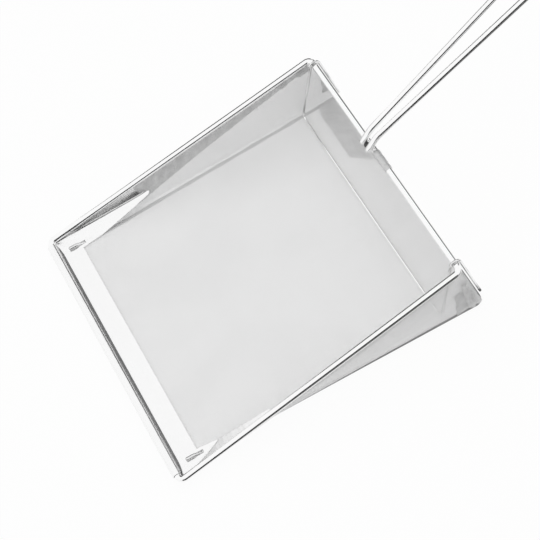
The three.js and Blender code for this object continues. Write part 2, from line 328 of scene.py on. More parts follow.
# %% Handle weld
WELD_SIZE, WELD_DEPTH = (3.4, 2.1, 2.1), 0.35
WELD_LUMP, WELD_LUMPS = 0.18, 2.2
bm, uv = blank_mesh()
bmesh.ops.create_icosphere(bm, subdivisions=4, radius=1)
heart = foot.lerp(Vector((0, RIM_LENGTH, 0)), WELD_DEPTH) + Vector((HANDLE_X, 0, 0))
for vert in bm.verts:
    lumpy = 1 + WELD_LUMP * noise.noise(vert.co * WELD_LUMPS)
    sized = Vector([c * size for c, size in zip(vert.co, WELD_SIZE)])
    vert.co = place(*(heart + sized * lumpy))
for face in bm.faces:
    for loop in face.loops:
        loop[uv].uv = (loop.vert.co.x / MM, loop.vert.co.z / MM)
weld = piece("handle_weld", bm, "polished_wire")

# %% [markdown]
# ## Lower frame
# A thinner wire runs under the basket along both sides and across the back. In front its two tips rise
# through slots in the lip and lie on top of it.

# %% Lower frame wire
FRAME_LEVEL = CLOTH_LEVEL + GAP + FRAME_WIRE / 2
TIP_LEVEL = ROLL - SHEET / 2 - GAP - FRAME_WIRE / 2
TIP_X, TIP_START, TIP_END, TIP_DROP = RIM_FRONT / 2 - 12.5, 10.5, 15.5, 8
FRAME_BEND, RAIL_INSET = 5, 0.5


def rail(side):
    """Corners of one side rail, from its tip on the lip to the back corner."""
    back_x, back_y = RIM_BACK / 2 + FLOOR_FLARE - RAIL_INSET, RIM_LENGTH - BACK_LEAN
    return [
        (side * TIP_X, TIP_START, floor_height(TIP_START, TIP_LEVEL)),
        (side * TIP_X, TIP_END, floor_height(TIP_END, TIP_LEVEL)),
        (side * TIP_X, TIP_END + TIP_DROP, floor_height(TIP_END + TIP_DROP, FRAME_LEVEL)),
        (side * back_x, back_y, floor_height(back_y, FRAME_LEVEL)),
    ]


frame_path = bent(rail(-1) + rail(1)[::-1], FRAME_BEND)
lower_frame = sweep("lower_frame_rod", frame_path, FRAME_WIRE, "drawn_wire", "lower_frame_wire",
                    wander=0.05)

# %% [markdown]
# ## Clamp wire
# A thin wire holds the cloth down at the back: hooked over the rim at both corners, down the walls and
# across the floor. Its cut ends stand outside the back wall, the right one longer.

# %% Clamp wire
CLAMP_LEVEL = CLOTH_LEVEL - CLOTH - GAP - CLAMP_WIRE / 2
CLAMP_Y, CLAMP_INSET, CLAMP_BEND = RIM_LENGTH - 31, 3.5, 6
LEFT_END, RIGHT_END, HOOK_STEPS = 50, 64, 36


def clamp_side(side, depth):
    """The hook over the rim at one corner, from its cut end that far below the rim."""
    hook = RIM_WIRE / 2 + GAP + CLAMP_WIRE / 2
    x = side * (RIM_BACK / 2 - RIM_BEND - CLAMP_WIRE)
    points = [Vector((x, RIM_LENGTH + STACK / 2 + GAP + CLAMP_WIRE / 2, -depth))]
    for k in range(HOOK_STEPS + 1):
        a = math.pi * k / HOOK_STEPS
        points.append(Vector((x, RIM_LENGTH + hook * math.cos(a), hook * math.sin(a))))
    return points


def clamp_low(side):
    """The corner of the clamp at the side of the floor."""
    x = side * (RIM_BACK / 2 + FLOOR_FLARE - CLAMP_INSET)
    return Vector((x, CLAMP_Y, floor_height(CLAMP_Y, CLAMP_LEVEL)))


left_hook, right_hook = clamp_side(-1, LEFT_END), clamp_side(1, RIGHT_END)[::-1]
clamp_floor = bent([left_hook[-1], clamp_low(-1), clamp_low(1), right_hook[0]], CLAMP_BEND)
clamp_path = left_hook[:-1] + clamp_floor + right_hook[1:]
clamp = sweep("clamp_rod", clamp_path, CLAMP_WIRE, "drawn_wire", "clamp_wire", wander=0.04)

# %% [markdown]
# ## Sections of the basket
# The lip, the cloth and its second layers all follow one section: two walls ruled from the rim to the
# edge of the floor. Each layer is that section moved inwards, and the cloth's fold is rounded.

# %% Basket sections
FOLD_STEPS, FOLD_LIMIT = 4, 0.3


def section(y, inset, low_y=None):
    """Top and bottom corner (x, z) of the right wall at y, moved in from the cloth's outer face."""
    low_y = y if low_y is None else low_y
    upper = Vector((rim_half(y) + STACK / 2, WALL_TOP))
    lower = Vector((floor_half(low_y) + STACK / 2, floor_height(low_y, CLOTH_LEVEL)))
    run = (lower - upper).normalized()
    start = upper + Vector((run.y, -run.x)) * inset
    low = floor_height(low_y, CLOTH_LEVEL - inset)
    top_x = start.x + run.x * (WALL_TOP - start.y) / run.y
    low_x = start.x + run.x * (low - start.y) / run.y
    return Vector((top_x, WALL_TOP)), Vector((low_x, low))


def folded(y, inset, radius, rows, low_y=None):
    """Points (x, z) of the right half: down the wall, round the fold, to the start of the floor."""
    top, corner = section(y, inset, low_y)
    radius = min(radius, (top - corner).length * FOLD_LIMIT)
    up_wall, inward = (top - corner).normalized(), Vector((-1, 0))
    half = up_wall.angle(inward) / 2
    centre = corner + (up_wall + inward).normalized() * (radius / math.sin(half))
    start = corner + up_wall * (radius / math.tan(half))
    points = [top.lerp(start, k / rows) for k in range(rows)]
    turn = math.pi - 2 * half
    for k in range(FOLD_STEPS + 1):
        points.append(centre + Matrix.Rotation(-turn * k / FOLD_STEPS, 2) @ (start - centre))
    return points


print("wall at the ear's end:", [tuple(round(c, 1) for c in p) for p in section(EAR_END, 0)])

# %% [markdown]
# ## Ears of the lip
# The lip is one sheet of steel, with an ear folded up along each side. From the rim an ear comes down
# as a wall with a slight bow, turns tightly at its fold, and slopes in to the floor as a leaf. Its
# sizes change along the ear, so each is a pair: in front, and at the ear's end. The right ear's fold
# is drawn a little higher than the left one's, which comes nearer to how pale that ear looks.

# %% Ear sections
LIP_INSET = CLOTH + GAP + SHEET / 2
# Shares of the wall's height: where it turns, and where the leaf starts below that
WAIST, FOLD = (0.7, 0.62), (0.5, 0.88)
# How far the wall leans out and bows, and the leaf runs in, for each millimetre of height
FLARE, BOW, LEAF_RUN = (0.5, 0.6), (0.3, 0.75), 2.6
RIGHT_LIFT = 0.22
WALL_STEPS, TURN_SHARES = 10, (0, 0.5, 0.85)
LEAF_SHARES = (0.03, 0.07, 0.12, 0.18, 0.26, 0.36, 0.5, 0.66, 0.83, 1)


def ear_wall(y, lift=0):
    """Points (x, z) from the top of the ear down: flared wall, tight fold, sloping leaf."""
    top, corner = section(y, LIP_INSET)
    along, height = y / EAR_END, top.y - corner.y
    waist = Vector((0, corner.y + height * (mix(*WAIST, along) + lift * along ** 2)))
    waist.x = top.x - mix(*FLARE, along) * (top.y - waist.y)
    fold = Vector((waist.x, mix(corner.y, waist.y, mix(*FOLD, along))))
    foot = Vector((fold.x - LEAF_RUN * (fold.y - corner.y), corner.y))
    bow = waist + Vector((mix(*BOW, along), 1)) * (top.y - waist.y) * 0.5
    wall = []
    for k in range(WALL_STEPS):
        t = k / WALL_STEPS
        wall.append(top.lerp(bow, t).lerp(bow.lerp(waist, t), t))
    wall += [waist.lerp(fold, share) for share in TURN_SHARES]
    return wall + [fold.lerp(foot, share) for share in LEAF_SHARES]


print("an ear is", round(ear_wall(EAR_END)[0].y - ear_wall(EAR_END)[-1].y, 1), "mm high at its end")

# %% [markdown]
# ## Rows of the lip
# Rows of points run across the sheet, from the top of one ear over the flat to the top of the other.
# At the end of the ears the fold reaches on to a rounded tip. The front row carries on round the rim,
# and the sheet's edge is tucked in behind the wire, as on a wired edge: that is the groove, and its
# faces are darkened further on with painted shade.

# %% Lip rows
ROLL_DOWN, ROLL_END, ROLL_STEPS = -math.pi / 2 - SLOPE, math.radians(14), 44
ROLL_HALF = RIM_FRONT / 2 - RIM_BEND - GAP
# How deep the edge is tucked in, in how many rows, and how near its ends it fades out
TUCK, TUCK_STEPS, TUCK_FADE = 4.2, 6, 9
LIP_START, LIP_ROWS, FLAT_STEPS = 0.3, 28, 24
# The first point of the leaf, how far the tip reaches, how round it is, and how late it starts
FOLD_POINT = WALL_STEPS + len(TURN_SHARES)
EAR_TIP_REACH, EAR_TIP_ROUND, EAR_TIP_LATE = 8, 3, 8
lip_rows = [LIP_START + (EAR_END - LIP_START) * k / LIP_ROWS for k in range(LIP_ROWS + 1)]
flat_span = ear_wall(lip_rows[0])[-1].x
flat_shares = [ROLL_HALF / flat_span * k / FLAT_STEPS for k in range(FLAT_STEPS + 1)]


def lip_row(y):
    """Points across the sheet at y, from the right ear to the left one."""
    reach = EAR_TIP_REACH * (y / EAR_END) ** EAR_TIP_LATE
    sides = []
    for lift in (RIGHT_LIFT, 0):
        half = ear_wall(y, lift)
        fold = half[FOLD_POINT]
        half += [Vector((half[-1].x * s, half[-1].y)) for s in reversed(flat_shares)]
        tips = [reach * math.exp(-((p - fold).length / EAR_TIP_ROUND) ** 2) for p in half]
        sides.append([(p.x, y + tip, p.y) for p, tip in zip(half, tips)])
    right, left = sides
    return right + [(-x, end, z) for x, end, z in reversed(left[:-1])]


def roll_rows(row):
    """Rows that carry the front row on round the rim and into the tuck behind it."""
    inner = [p for p in row if abs(p[0]) <= ROLL_HALF + 0.01]
    turn = 2 * math.pi + ROLL_DOWN - ROLL_END
    rows = []
    for k in range(ROLL_STEPS + 1):
        a = ROLL_DOWN - turn * k / ROLL_STEPS
        rows.append([(p[0], ROLL * math.cos(a), ROLL * math.sin(a)) for p in inner])
    for k in range(1, TUCK_STEPS + 1):
        tuck = []
        for x, y, z in rows[ROLL_STEPS]:
            run = TUCK * k / TUCK_STEPS * min(1, (ROLL_HALF - abs(x)) / TUCK_FADE) ** 0.5
            tuck.append((x, y + run * math.sin(ROLL_END), z - run * math.cos(ROLL_END)))
        rows.append(tuck)
    return [inner] + rows


sheet_rows = [lip_row(y) for y in lip_rows]
wrap = roll_rows(sheet_rows[0])
print("lip of", len(sheet_rows), "rows, and", len(wrap), "more round the rim")

# %% [markdown]
# ## Lip
# The rows become a grid of faces. The ears' slanted edges and the two slots for the tips of the lower
# frame could be booleans, but the sheet is still a skin here, so straight cuts along upright planes are
# cleaner: what lies between the cuts is deleted, and a modifier then gives the sheet its thickness.

# %% Front lip
# The uv map's step for each row of the roll, as a share of its radius
ROLL_UV = 0.07
ear_inner, ear_tip = RIM_FRONT / 2 - 16.2, rim_half(EAR_END) - 8
slot_half, slot_from, slot_to = FRAME_WIRE / 2 + 0.1, TIP_END + 0.6, TIP_END + TIP_DROP - 1


def grid(bm, uv, rows, lengths):
    """Faces between rows of points; the uv map is the run along a row and the row's own length."""
    made = [[bm.verts.new(place(*p)) for p in row] for row in rows]
    runs = []
    for row in rows:
        run = [0]
        for a, b in zip(row, row[1:]):
            run.append(run[-1] + (Vector(b) - Vector(a)).length)
        runs.append([v - run[-1] / 2 for v in run])
    for i in range(len(rows) - 1):
        for k in range(len(rows[i]) - 1):
            corners = ((i, k), (i, k + 1), (i + 1, k + 1), (i + 1, k))
            face = bm.faces.new([made[a][b] for a, b in corners])
            for loop, (a, b) in zip(face.loops, corners):
                loop[uv].uv = (runs[a][b], lengths[a])


def cut(bm, point, normal):
    """Cuts the mesh along a plane that is upright on the rim plane."""
    geom = bm.verts[:] + bm.edges[:] + bm.faces[:]
    normal = TO_PART @ Vector(normal)
    bmesh.ops.bisect_plane(bm, geom=geom, plane_co=place(*point), plane_no=normal)


def off_the_lip(face):
    """True for faces behind the flat lip and between the ears, and for those in the slots."""
    x, y, _ = rim_spot(face.calc_center_median())
    ear_edge = mix(ear_inner, ear_tip, (y - LIP_DEPTH) / (EAR_END - LIP_DEPTH))
    behind = y > LIP_DEPTH and abs(x) < ear_edge
    return behind or abs(abs(x) - TIP_X) < slot_half and slot_from < y < slot_to


bm, uv = blank_mesh()
grid(bm, uv, sheet_rows, lip_rows)
grid(bm, uv, wrap, [lip_rows[0] - ROLL * ROLL_UV * k for k in range(len(wrap))])
bmesh.ops.remove_doubles(bm, verts=bm.verts, dist=0.02 * MM)
for side in (-1, 1):
    slant = (EAR_END - LIP_DEPTH, -side * (ear_tip - ear_inner), 0)
    cut(bm, (side * ear_inner, LIP_DEPTH, 0), slant)
    cut(bm, (side * (TIP_X - slot_half), 0, 0), (1, 0, 0))
    cut(bm, (side * (TIP_X + slot_half), 0, 0), (1, 0, 0))
for y in (LIP_DEPTH, slot_from, slot_to):
    cut(bm, (0, y, 0), (0, 1, 0))
bmesh.ops.delete(bm, geom=[f for f in bm.faces if off_the_lip(f)], context="FACES")
lip = piece("lip_sheet", bm, "bright_sheet", "front_blade")
thick = lip.modifiers.new("Thickness", "SOLIDIFY")
thick.thickness, thick.offset = SHEET * MM, 0
print("lip of", freeze(lip), "faces,", round(2 * ROLL_HALF), "mm of roll")

# %% [markdown]
# ## Cloth basket
# One blank of woven cloth, cut like an open box and folded up: floor, two side walls and a back wall.
# The weave is far too fine to build thread by thread, so the basket is a single skin, and its material
# opens the gaps between the threads. The uv map is the flat blank in millimetres, so that the threads
# run straight over every fold.

# %% Rows of the basket
CLOTH_INSET, CLOTH_FOLD = CLOTH / 2, 2.6
CLOTH_ROWS, CLOTH_STEPS, WALL_ROWS = 60, 30, 8
# The cloth's swell: its length across, its length from front to back, and its height
SWELL_X, SWELL_Y, SWELL = 55, 70, 0.35
cloth_front, cloth_back = LIP_DEPTH / 2, RIM_LENGTH + STACK / 2 - CLOTH_INSET
cloth_rows = [mix(cloth_front, cloth_back, k / CLOTH_ROWS) for k in range(CLOTH_ROWS + 1)]
cloth_shares = [k / CLOTH_STEPS for k in range(CLOTH_STEPS + 1)]


def cloth_row(y, low_y):
    """Points across the cloth: its walls' tops at y and its floor at low_y."""
    half = folded(y, CLOTH_INSET, CLOTH_FOLD, WALL_ROWS, low_y)
    flat = [Vector((half[-1].x * s, half[-1].y)) for s in reversed(cloth_shares)]
    right = half + flat[1:-1]
    left = [Vector((-p.x, p.y)) for p in reversed(right)]
    row = []
    for p in right + [flat[-1]] + left:
        depth = (WALL_TOP - p.y) / (WALL_TOP - half[-1].y)
        row.append((p.x, mix(y, low_y, depth), p.y))
    return row


def settle(p):
    """Cloth is never dead flat: a slow, shallow swell of a few tenths of a millimetre."""
    swell = noise.noise(Vector((p[0] / SWELL_X, p[1] / SWELL_Y, 3))) * SWELL
    return (p[0], p[1], p[2] + max(0, swell))


rows = [cloth_row(y, y) for y in cloth_rows[:-1]]
edge = cloth_row(cloth_back, cloth_back - BACK_LEAN)
rows.append(edge)
print("cloth of", len(rows), "rows of", len(edge), "points")

# %% [markdown]
# ## Back wall
# The back wall stands on the last row and fills the outline that this row draws: as wide at each height
# as the side walls and their folds leave it. Its rows lie closer together near the floor, where that
# outline is curved.

# %% Basket of wire cloth
BACK_ROWS, BACK_STEPS, BACK_CROWD = 20, 60, 1.7
FOLD_END = WALL_ROWS + FOLD_STEPS


def edge_width(z):
    """Half the width of the basket's back edge at that height, down to the end of its fold."""
    for above, below in zip(edge[:FOLD_END], edge[1:FOLD_END + 1]):
        if z >= below[2]:
            return mix(above[0], below[0], (above[2] - z) / (above[2] - below[2]))
    return edge[FOLD_END][0]


wall_rows = []
low_z = edge[len(edge) // 2][2]
for k in range(BACK_ROWS + 1):
    rise = (k / BACK_ROWS) ** BACK_CROWD
    z = mix(low_z, WALL_TOP, rise)
    y = mix(cloth_back - BACK_LEAN, cloth_back, rise)
    half_width = edge_width(z)
    wall_rows.append([(half_width * (1 - 2 * i / BACK_STEPS), y, z) for i in range(BACK_STEPS + 1)])
bm, uv = blank_mesh()
grid(bm, uv, [[settle(p) for p in row] for row in rows], [y / math.cos(SLOPE) for y in cloth_rows])
grid(bm, uv, wall_rows, [cloth_back / math.cos(SLOPE) + (row[0][2] - low_z) for row in wall_rows])
basket = piece("cloth_basket", bm, "wire_cloth", "mesh_basket")

# %% [markdown]
# ## Hems
# Below both sides of the rim the cloth is turned over, most in front and less to the back, with a front
# end that is cut back below. Each turned layer is a skin of its own, just inside the basket's wall.

# %% Hems
HEM_INSET = CLOTH + GAP + CLOTH / 2
HEM_FRONT, HEM_BACK, HEM_STOP = 16.4, 5, 8
HEM_SLANT, HEM_SLANT_FADE = 7, 6
HEM_RAG, HEM_RAG_RUN = 0.6, 25
HEM_ROWS, HEM_STEPS = 50, 6


def wall_point(side, y, depth, inset):
    """A point on a side wall at y, that far down from its top and moved in from its outer face."""
    top, low = section(y, inset)
    p = top + (low - top).normalized() * depth
    return (side * p.x, y, p.y)


def cloth_layer(name, rows, lengths, *nodes):
    """A skin of cloth of its own, from rows of points."""
    bm, uv = blank_mesh()
    grid(bm, uv, rows, lengths)
    return piece(name, bm, "wire_cloth", *nodes)


def hem(side, name, node):
    """The turned-over layer on one side wall."""
    ys = [mix(EAR_END + 1, RIM_LENGTH - HEM_STOP, k / HEM_ROWS) for k in range(HEM_ROWS + 1)]
    rows = []
    for y in ys:
        share = (y - EAR_END) / (RIM_LENGTH - EAR_END)
        ragged = HEM_RAG * noise.noise(Vector((y / HEM_RAG_RUN, side * 5, 0)))
        height = mix(HEM_FRONT, HEM_BACK, share) + ragged
        slant = HEM_SLANT * (1 - share) ** HEM_SLANT_FADE
        row = []
        for k in range(HEM_STEPS + 1):
            down = k / HEM_STEPS
            row.append(wall_point(side, y - slant * down ** 2, height * down, HEM_INSET))
        rows.append(row)
    return cloth_layer(name, rows, ys, node)


hem_left = hem(-1, "cloth_hem_left", "mesh_hem_left")
hem_right = hem(1, "cloth_hem_right", "mesh_hem_right")

# %% [markdown]
# ## Lap
# On the floor at the back left the cloth's spare edge is folded in and cut off slantwise. Its front edge
# is a little ragged, and drawn back near the corner.

# %% Lap
LAP_WIDTH, LAP_ENDS = 17, (-50, -36)
LAP_ROWS, LAP_STEPS = 8, 40
LAP_RAG, LAP_RAG_RUN, LAP_DRAW, LAP_DRAW_RUN = 0.9, 9, 3, 9
lap_back, lap_left = RIM_LENGTH - BACK_LEAN - STACK, -(RIM_BACK / 2 + FLOOR_FLARE) + STACK
rows = []
for k in range(LAP_ROWS + 1):
    right_end = mix(*LAP_ENDS, k / LAP_ROWS)
    row = []
    for i in range(LAP_STEPS + 1):
        x = mix(lap_left, right_end, i / LAP_STEPS)
        ragged = LAP_RAG * noise.noise(Vector((x / LAP_RAG_RUN, 4, 0)))
        width = LAP_WIDTH + ragged - LAP_DRAW * max(0, 1 - (x - lap_left) / LAP_DRAW_RUN)
        y = lap_back - width * (1 - k / LAP_ROWS)
        row.append((x, y, floor_height(y, CLOTH_LEVEL - HEM_INSET)))
    rows.append(row)
lap = cloth_layer("cloth_lap", rows, [row[0][1] for row in rows], "mesh_lap")

# %% [markdown]
# ## Corner flaps
# At the back corners the blank's spare cloth is folded round the corner: two layers outside on the
# right, one inside on the left. Near the top of the left wall two small bits of the hem are turned down.
# A cloth simulation would crumple them by chance; a swell and a ragged edge from noise stay in hand.

# %% Corner flaps
FLAP_ROWS, FLAP_STEPS = 24, 12
FLAP_RAG, FLAP_RAG_RUN = 1.4, 6
SWELL_BASE, SWELL_RUN, SWELL_DROP = 0.6, 4, 5
CORNER_Y = RIM_LENGTH - GAP


def corner_flap(name, side, from_y, to_y, depths, inset, bulge, seed):
    """A flap on a side wall. from_y and depths hold its front edge and its depth at top and bottom;
    inset says how far inside the wall it lies, and bulge how far it swells outwards."""
    rows = []
    for k in range(FLAP_ROWS + 1):
        down = k / FLAP_ROWS
        start = mix(*from_y, down) + FLAP_RAG * noise.noise(Vector((k / FLAP_RAG_RUN, seed, 0)))
        row = []
        for i in range(FLAP_STEPS + 1):
            uneven = SWELL_BASE + noise.noise(Vector((i / SWELL_RUN, k / SWELL_DROP, seed)))
            swell = bulge * math.sin(math.pi * i / FLAP_STEPS) * uneven
            y = mix(start, to_y, i / FLAP_STEPS)
            row.append(wall_point(side, y, mix(*depths, down), inset - swell))
        rows.append(row)
    return cloth_layer(name, rows, [-row[0][2] for row in rows])


corner_under = corner_flap("cloth_corner_under", 1, (226, 219), CORNER_Y, (25, 55.5), -0.3, 0, 2)
corner_right = corner_flap("cloth_corner_right", 1, (234, 229), CORNER_Y, (14, 56), -0.6, 2.6, 5)
inner_flaps = [
    corner_flap("cloth_corner_left", -1, (237, 232), CORNER_Y, (27, 46), HEM_INSET + 0.3, -1.2, 8),
    corner_flap("cloth_turn_back", -1, (222, 225), 235, (1, 8), HEM_INSET + 0.4, -0.4, 11),
    corner_flap("cloth_turn_side", -1, (207, 209), 215, (1, 7), HEM_INSET + 0.4, -0.4, 14),
]

# %% [markdown]
# ## Joint sleeve
# A short tube over the butted ends of the rim, crimped twice and left dull. A turned profile with soft
# ends would do for a new one; the two crimps show how it is held.

# %% Joint sleeve
SLEEVE_STEPS, SLEEVE_SIDES, SLEEVE_WALL = 32, 36, 0.25
SLEEVE_RADIUS = RIM_WIRE / 2 + GAP + 0.1
# The soft ends drop over one part in 24 of the length; the crimps are placed by shares of it
END_DROP, END_PARTS = 0.25, 24
CRIMPS, CRIMP_WIDTH, CRIMP_DEPTH = (0.27, 0.73), 0.06, 0.22
turns = [2 * math.pi * i / SLEEVE_SIDES for i in range(SLEEVE_SIDES + 1)]
sleeve_rows = []
for k in range(SLEEVE_STEPS + 1):
    u = k / SLEEVE_STEPS
    x = JOINT_X + SLEEVE * (u - 0.5)
    ends = min(1, min(u, 1 - u) * END_PARTS)
    crimp = sum(math.exp(-((u - c) / CRIMP_WIDTH) ** 2) for c in CRIMPS)
    radius = SLEEVE_RADIUS - END_DROP * (1 - math.sqrt(ends)) - CRIMP_DEPTH * crimp
    sleeve_rows.append([(x, RIM_LENGTH + radius * math.cos(a), radius * math.sin(a)) for a in turns])
bm, uv = blank_mesh()
grid(bm, uv, sleeve_rows, [row[0][0] for row in sleeve_rows])
bmesh.ops.remove_doubles(bm, verts=bm.verts, dist=0.01 * MM)
sleeve = piece("rim_sleeve", bm, "dull_sleeve", "rim_joint_sleeve")
tube = sleeve.modifiers.new("Wall", "SOLIDIFY")
tube.thickness, tube.offset = SLEEVE_WALL * MM, -1
print("sleeve of", freeze(sleeve), "faces with its wall")

# %% [markdown]
# ## Materials
# Everything is stainless steel, and mostly the way its surface was made differs: polished, drawn,
# rolled, pressed, sheared, welded or woven; a few tones are painted shade and painted reflection.
# One small function adds a node and its links, one turns the sRGB colours into the linear values
# that the shader wants, and two more hold what all these finishes share. The metal keeps the
# shader's own IOR.

# %% Material helpers
def linear(code):
    """An sRGB hex colour as linear red, green, blue and alpha."""
    parts = [int(code[i:i + 2], 16) / 255 for i in (1, 3, 5)]
    return [p / 12.92 if p <= 0.04045 else ((p + 0.055) / 1.055) ** 2.4 for p in parts] + [1]


def add(tree, kind, sockets=None, **settings):
    """Adds a node; each socket gets a value, or a link if it is given another node's output."""
    made = tree.nodes.new(kind)
    for name, value in settings.items():
        setattr(made, name, value)
    for name, value in (sockets or {}).items():
        if isinstance(value, bpy.types.NodeSocket):
            tree.links.new(value, made.inputs[name])
        else:
            made.inputs[name].default_value = value
    return made


def steel(name):
    """A new metal material, its node tree and its uv map in millimetres."""
    made = bpy.data.materials.new(name)
    made.use_nodes = True
    tree = made.node_tree
    tree.nodes["Principled BSDF"].inputs["Metallic"].default_value = 1
    return made, tree, add(tree, "ShaderNodeUVMap", uv_map="mm").outputs["UV"]


def dress(tree, tone, gloss, relief):
    """Links colour, roughness and relief to the shader."""
    shader = tree.nodes["Principled BSDF"]
    tree.links.new(tone.outputs["Result"], shader.inputs["Base Color"])
    tree.links.new(gloss.outputs["Result"], shader.inputs["Roughness"])
    tree.links.new(relief.outputs["Normal"], shader.inputs["Normal"])


print("mid grey #808080 is", round(linear("#808080")[0], 3), "in linear light")

# %% [markdown]
# ### Polished and drawn wire
# Wire is pulled through a die, which leaves fine lines along it, and then polished or left as it is. The
# uv map runs along the wire, so noise stretched that way gives the lines, and a slower noise the tone.
# Real lines are about 0.05 mm wide; they are drawn ten times coarser so that they show. On the
# clamp's uprights they are drawn coarser still, a stripe or two along a thin wire, and the deeper ones
# are painted dark grey: a painted reflection of the dark surroundings along the wire's edges.

# %% Wire materials
LINE_WIDTH, STRIPE_WIDTH, LINE_RUN, TONE_PATCH = 0.5, 1.3, 40, 9
LINE_RELIEF = 0.02 * MM


def wire_finish(name, bright, dim, smooth, rough, line=LINE_WIDTH, painted_reflection=None):
    """Wire of two tones and roughnesses; its deeper lines may take a dark painted reflection."""
    made, tree, uv = steel(name)
    lines = add(tree, "ShaderNodeVectorMath", {0: uv, 1: (1 / line, 1 / LINE_RUN, 1)},
                operation="MULTIPLY")
    streaks = add(tree, "ShaderNodeTexNoise",
                  {"Vector": lines.outputs["Vector"], "Scale": 1, "Detail": 3}).outputs["Fac"]
    patches = add(tree, "ShaderNodeTexNoise", {"Vector": uv, "Scale": 1 / TONE_PATCH, "Detail": 4})
    tone = add(tree, "ShaderNodeMix", {
        "Factor": patches.outputs["Fac"], "A": linear(dim), "B": linear(bright)}, data_type="RGBA")
    # Painted reflection: the deeper lines turn dark grey, for the dark that the wire's edges reflect
    if painted_reflection:
        deep = add(tree, "ShaderNodeMapRange", {"Value": streaks, "From Min": 0.49, "From Max": 0.63})
        tone = add(tree, "ShaderNodeMix", {
            "Factor": deep.outputs["Result"], "A": tone.outputs["Result"], "B": linear(painted_reflection)},
            data_type="RGBA")
    gloss = add(tree, "ShaderNodeMapRange", {
        "Value": streaks, "From Min": 0.3, "From Max": 0.7, "To Min": smooth, "To Max": rough})
    relief = add(tree, "ShaderNodeBump", {
        "Height": streaks, "Strength": 0.15, "Distance": LINE_RELIEF})
    dress(tree, tone, gloss, relief)
    return made


# Polished: a mirror, white with crisp dark lines where it shows the dark cards
polished = wire_finish("polished_stainless_wire", "#FDFDFD", "#F6F6F6", 0.05, 0.11)
# Drawn: bright, with softer lines
drawn = wire_finish("drawn_stainless_wire", "#FAFAFA", "#F0F0F0", 0.1, 0.2)
# Die-lined: bright, with grey stripes along it, which are a painted reflection of dark surroundings
lined = wire_finish("stainless_wire_painted_reflection_stripes", "#FAFAFA", "#EAEAEA", 0.1, 0.2, STRIPE_WIDTH, "#828282")
# Painted shade: an even, satin mid grey, for the shade that the cloth casts on the rail below it,
# which outlines the floor from below
shaded_rail = wire_finish("painted_shade_stainless_wire", "#A6A6A6", "#909090", 0.25, 0.4)
# Lit tips: the same wire without the painted shade, where its tips lie out on the lip
lit_tips = wire_finish("lit_tip_stainless_wire", "#F2F2F2", "#DEDEDE", 0.12, 0.25)
finishes = ((rim, polished), (handle, polished), (clamp, drawn), (clamp, lined),
            (lower_frame, shaded_rail), (lower_frame, lit_tips))
for wire, finish in finishes:
    wire.data.materials.append(finish)
# The tips on the lip take the lit tone; the rest of the lower frame takes the painted shade
for face in lower_frame.data.polygons:
    face.material_index = int(rim_spot(face.center).y < TIP_END + TIP_DROP)
print("wire finishes:", [finish.name for _, finish in finishes[1:]])

# %% [markdown]
# ### Bright rolled sheet
# Cold-rolled sheet with a bright finish is nearly a mirror, so under a white surround the lip looks
# almost white. Faint lines across it come from the rolls, and small scuffs from use. Both change the
# roughness more than the colour. Real lines are about 0.1 mm wide, drawn at 0.6 mm so that they show.

# %% Sheet material
ROLL_LINE, ROLL_LINE_RUN, SCUFF = 0.6, 60, 12
sheet, tree, uv = steel("bright_rolled_stainless_sheet")
lines = add(tree, "ShaderNodeVectorMath", {0: uv, 1: (1 / ROLL_LINE_RUN, 1 / ROLL_LINE, 1)},
            operation="MULTIPLY")
streaks = add(tree, "ShaderNodeTexNoise",
              {"Vector": lines.outputs["Vector"], "Scale": 1, "Detail": 3}).outputs["Fac"]
scuffs = add(tree, "ShaderNodeTexNoise", {
    "Vector": uv, "Scale": 1 / SCUFF, "Detail": 6, "Roughness": 0.65}).outputs["Fac"]
both = add(tree, "ShaderNodeMath", {0: streaks, 1: scuffs}, operation="MULTIPLY")
gloss = add(tree, "ShaderNodeMapRange", {
    "Value": both.outputs["Value"], "From Min": 0.1, "From Max": 0.45, "To Min": 0.12, "To Max": 0.3})
tone = add(tree, "ShaderNodeMix", {
    "Factor": scuffs, "A": linear("#F4F4F4"), "B": linear("#FCFCFC")}, data_type="RGBA")
relief = add(tree, "ShaderNodeBump", {"Height": streaks, "Strength": 0.1, "Distance": LINE_RELIEF})
dress(tree, tone, gloss, relief)
lip.data.materials.append(sheet)
print("sheet finish:", sheet.name, "of", len(tree.nodes), "nodes")

# %% [markdown]
# ### Pressed and welded steel, with painted shade and reflection
# Steel left as it came from the tool is matt and finely pitted. The crimped sleeve stays pale, and
# the weld is darkened by heat. The cut ends of the clamp take the weld's dark tone as well, a painted
# reflection of the dark round them, and the faces in the groove behind the rim, where the sheet's
# sheared edge is tucked in, are painted mid grey for the shade in that groove. One finish does for
# all three, in other tones. Its pits are drawn 0.8 mm wide, several times their real size, so that
# they show.

# %% Rough materials
PIT, PIT_DEPTH = 0.8, 0.1 * MM
# The groove behind the roll, painted shade, in the rim plane; and how long the clamp's ends are
# painted dark as a reflection
GROOVE_Y, GROOVE_Z = (2.2, 5), (-3.4, 0.3)
LEFT_DARK, RIGHT_DARK = 2, 3


def rough_steel(name, bright, dim):
    """Matt steel with small pits, between two tones."""
    made, tree, uv = steel(name)
    pits = add(tree, "ShaderNodeTexNoise", {
        "Vector": uv, "Scale": 1 / PIT, "Detail": 5}).outputs["Fac"]
    tone = add(tree, "ShaderNodeMix", {
        "Factor": pits, "A": linear(dim), "B": linear(bright)}, data_type="RGBA")
    gloss = add(tree, "ShaderNodeMapRange", {"Value": pits, "To Min": 0.45, "To Max": 0.7})
    relief = add(tree, "ShaderNodeBump", {"Height": pits, "Strength": 0.4, "Distance": PIT_DEPTH})
    dress(tree, tone, gloss, relief)
    return made
